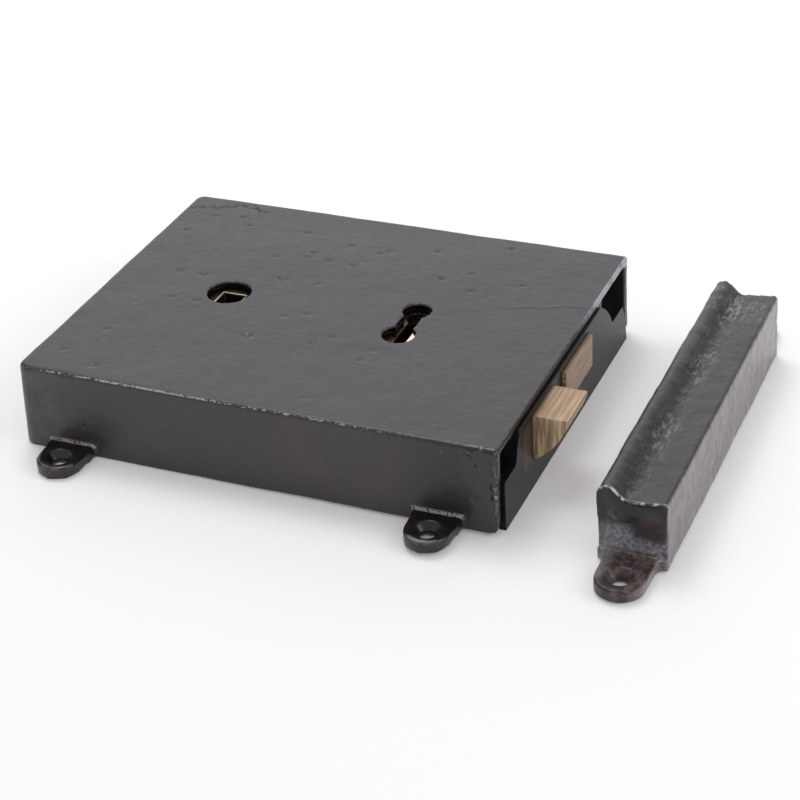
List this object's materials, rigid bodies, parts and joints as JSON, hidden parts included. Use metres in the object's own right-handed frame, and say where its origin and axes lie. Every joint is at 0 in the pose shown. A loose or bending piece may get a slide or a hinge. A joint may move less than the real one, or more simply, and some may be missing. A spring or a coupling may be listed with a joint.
{
  "type": "rim box lock",
  "caption": "Surface-fixed door lock: two-lever case in a cast iron box cover, with sprung latch, dead bolt and separate keep.",
  "frame": {"origin": "centre of the four cover screw lugs, on the door face", "axes": "+X towards the forend and keep, +Y up the door edge, +Z out of the door"},
  "size_m": [0.2465, 0.1932, 0.0344],
  "materials": {
    "cover_casting": "satin dark cast iron with fine pits",
    "forend_plate": "semi-gloss black over smooth steel",
    "case_tray": "black pressed steel",
    "case_cap": "black pressed steel",
    "cap_pillars": "turned steel",
    "cap_screws": "turned steel",
    "case_screws": "turned steel",
    "forend_rivets": "rivets ground flush and blacked over",
    "latch_spring_stop": "stamped steel plate",
    "bolt_guide_pin": "turned steel",
    "lever_post": "turned steel",
    "lever_spacer": "turned steel",
    "follower": "cast brass",
    "latch_head": "aged brass with a drawn grain",
    "latch_tail": "stamped steel plate",
    "latch_rivets": "cast brass",
    "latch_drive_pins": "turned steel",
    "latch_spring_rod": "turned steel",
    "latch_spring": "spring steel wire",
    "dead_bolt_head": "aged brass with a drawn grain",
    "dead_bolt_tail": "stamped steel plate",
    "dead_bolt_rivets": "cast brass",
    "bolt_stump": "turned steel",
    "lever_lower": "rolled brass sheet",
    "lever_spring_lower": "rolled brass sheet",
    "lever_upper": "rolled brass sheet",
    "lever_spring_upper": "rolled brass sheet",
    "keep_casting": "waxed dark cast iron, worn along its edges"
  },
  "bodies": {
    "lock_body": {"cover_casting": "cover_casting", "forend_plate": "forend_plate", "case_tray": "case_tray", "case_cap": "case_cap", "cap_pillars": "cap_pillars", "cap_screws": "cap_screws", "case_screws": "case_screws", "forend_rivets": "forend_rivets", "latch_spring_stop": "latch_spring_stop", "bolt_guide_pin": "bolt_guide_pin", "lever_post": "lever_post", "lever_spacer": "lever_spacer"},
    "follower": {"follower": "follower"},
    "latch": {"latch_head": "latch_head", "latch_tail": "latch_tail", "latch_rivets": "latch_rivets", "latch_drive_pins": "latch_drive_pins", "latch_spring_rod": "latch_spring_rod", "latch_spring": "latch_spring"},
    "dead_bolt": {"dead_bolt_head": "dead_bolt_head", "dead_bolt_tail": "dead_bolt_tail", "dead_bolt_rivets": "dead_bolt_rivets", "bolt_stump": "bolt_stump"},
    "lever_lower": {"lever_lower": "lever_lower", "lever_spring_lower": "lever_spring_lower"},
    "lever_upper": {"lever_upper": "lever_upper", "lever_spring_upper": "lever_spring_upper"},
    "keep": {"keep_casting": "keep_casting"}
  },
  "joints": [
    {"name": "follower_turn", "type": "hinge", "parent": "lock_body", "child": "follower", "pos_m": [-0.0421, 0, 0.015], "axis": [0, 0, -1], "range_deg": [0, 30]},
    {"name": "latch_slide", "type": "slide", "parent": "lock_body", "child": "latch", "axis": [-1, 0, 0], "range_m": [0, 0.0124], "stiffness_N_per_m": 250, "springref_m": -0.012, "deforming": ["latch_spring"]},
    {"name": "dead_bolt_slide", "type": "slide", "parent": "lock_body", "child": "dead_bolt", "axis": [1, 0, 0], "range_m": [0, 0.013]},
    {"name": "lever_lower_lift", "type": "hinge", "parent": "lock_body", "child": "lever_lower", "pos_m": [0.0617, 0.0355, 0.018], "axis": [0, 0, -1], "range_deg": [0, 5], "deforming": ["lever_spring_lower"]},
    {"name": "lever_upper_lift", "type": "hinge", "parent": "lock_body", "child": "lever_upper", "pos_m": [0.0617, 0.0355, 0.0206], "axis": [0, 0, -1], "range_deg": [0, 5], "deforming": ["lever_spring_upper"]},
    {"name": "keep_placing", "type": "slide", "parent": "lock_body", "child": "keep", "axis": [-0.9622, 0, 0.2723], "range_m": [0, 0.03305]}
  ],
  "couplings": [
    {"joint": "follower_turn", "follows": "latch_slide", "rad_per_m": 42.22},
    {"joint": "lever_lower_lift", "follows": "dead_bolt_slide", "rad_per_m": 6.7127},
    {"joint": "lever_upper_lift", "follows": "dead_bolt_slide", "rad_per_m": 6.7127}
  ]
}
